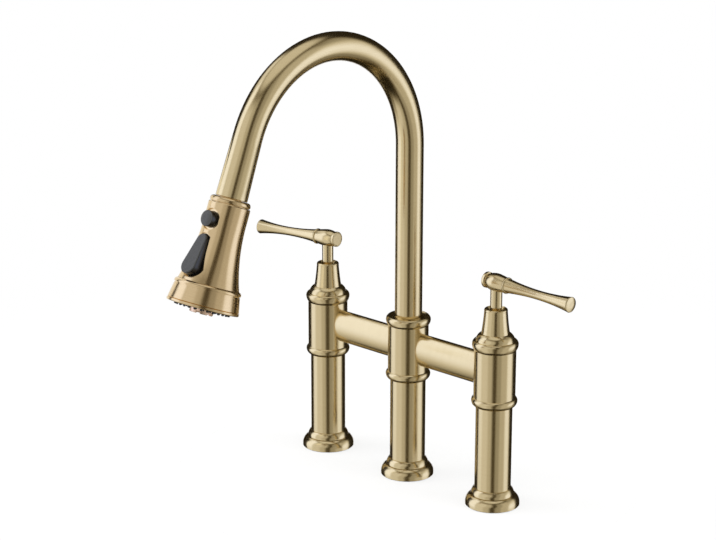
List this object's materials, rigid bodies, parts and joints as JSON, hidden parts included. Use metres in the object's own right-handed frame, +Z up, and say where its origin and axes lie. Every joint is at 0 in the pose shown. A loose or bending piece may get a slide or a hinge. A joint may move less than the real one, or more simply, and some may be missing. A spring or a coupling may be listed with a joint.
{
  "type": "bridge kitchen faucet with pull-out spray",
  "caption": "Bridge kitchen faucet: turned columns, gooseneck spout that swivels, pull-out spray head with two buttons, and a quarter-turn lever on each side column.",
  "frame": {"origin": "centre of the middle column on the deck, at the mouth of its threaded socket", "axes": "+Z up along the middle column, +X along the bridge towards the right column, -Y towards the user, where the spout reaches"},
  "size_m": [0.3648, 0.2884, 0.4097],
  "materials": {
    "brushed_gold": "brushed, warm champagne gold",
    "pale_gold": "pale pinkish gold, satin",
    "plain_brass": "machined",
    "black_rubber": "matt",
    "black_plastic": "satin black",
    "dark_plastic": "moulded",
    "white_plastic": "moulded",
    "ceramic": "ground ceramic",
    "steel": "bright",
    "magnet": "dark grey",
    "braided_hose": "grey braid"
  },
  "bodies": {
    "base": {"centre_foot": "brushed_gold", "left_foot": "brushed_gold", "right_foot": "brushed_gold", "foot_gaskets": "black_rubber", "centre_leg": "brushed_gold", "left_leg": "brushed_gold", "right_leg": "brushed_gold", "lower_beads": "brushed_gold", "cross_body": "brushed_gold", "hose_sleeve": "white_plastic", "mixed_water_tube": "plain_brass", "top_ring": "brushed_gold", "spout_bush": "white_plastic", "pipe_seals": "black_rubber", "left_bridge_pipe": "brushed_gold", "right_bridge_pipe": "brushed_gold", "left_valve_body": "brushed_gold", "right_valve_body": "brushed_gold", "left_bonnet": "brushed_gold", "right_bonnet": "brushed_gold", "left_cone_sleeve": "brushed_gold", "right_cone_sleeve": "brushed_gold", "left_cartridge": "white_plastic", "right_cartridge": "white_plastic", "cartridge_nuts": "plain_brass", "fixed_discs": "ceramic"},
    "left_handle": {"left_moving_disc": "ceramic", "left_spindle": "plain_brass", "left_hub": "brushed_gold", "left_hub_cap": "brushed_gold", "left_lever": "brushed_gold", "left_set_screw": "steel"},
    "right_handle": {"right_moving_disc": "ceramic", "right_spindle": "plain_brass", "right_hub": "brushed_gold", "right_hub_cap": "brushed_gold", "right_lever": "brushed_gold", "right_set_screw": "steel"},
    "spout": {"gooseneck_tube": "brushed_gold", "spout_clip": "steel", "dock_sleeve": "dark_plastic", "dock_magnet": "magnet", "spray_hose": "braided_hose", "hose_lower_fitting": "plain_brass"},
    "hose_end": {"hose_ferrule": "steel", "hose_nipple": "plain_brass"},
    "head": {"head_collar": "brushed_gold", "head_shell": "brushed_gold", "waterway_core": "white_plastic", "check_valve": "dark_plastic", "bezel_ring": "brushed_gold", "spray_plate": "black_plastic", "nozzles": "black_rubber", "aerator": "pale_gold", "rocker_pin": "steel", "button_spring": "steel"},
    "button": {"round_button": "black_plastic"},
    "rocker_button": {"rocker": "black_plastic"},
    "diverter": {"diverter_spool": "white_plastic"}
  },
  "joints": [
    {"name": "left_lever_turn", "type": "hinge", "parent": "base", "child": "left_handle", "pos_m": [-0.1016, 0, 0.1988], "axis": [0, 0, 1], "range_deg": [-6.4, 83.6]},
    {"name": "right_lever_turn", "type": "hinge", "parent": "base", "child": "right_handle", "pos_m": [0.1016, 0, 0.1988], "axis": [0, 0, -1], "range_deg": [0, 90]},
    {"name": "spout_swivel", "type": "hinge", "parent": "base", "child": "spout", "pos_m": [0, 0, 0.14], "axis": [0, 0, 1], "continuous": true},
    {"name": "head_pull", "type": "slide", "parent": "spout", "child": "hose_end", "axis": [0, -0.3633, -0.9317], "range_m": [0, 0.45], "stiffness_N_per_m": 4, "springref_m": -1.8},
    {"name": "head_swivel", "type": "hinge", "parent": "hose_end", "child": "head", "pos_m": [0, -0.21067, 0.27462], "axis": [0, -0.3633, -0.9317], "continuous": true},
    {"name": "button_press", "type": "slide", "parent": "head", "child": "button", "axis": [0, 0.9317, -0.3633], "range_m": [0, 0.002], "stiffness_N_per_m": 400, "springref_m": -0.004, "deforming": ["button_spring"]},
    {"name": "rocker_tilt", "type": "hinge", "parent": "head", "child": "rocker_button", "pos_m": [0, -0.23772, 0.24985], "axis": [1, 0, 0], "range_deg": [0, 8]},
    {"name": "diverter_slide", "type": "slide", "parent": "head", "child": "diverter", "axis": [0, -0.3633, -0.9317], "range_m": [-0.0016, 0]}
  ],
  "couplings": [
    {"joint": "diverter_slide", "follows": "rocker_tilt", "m_per_rad": -0.01}
  ]
}
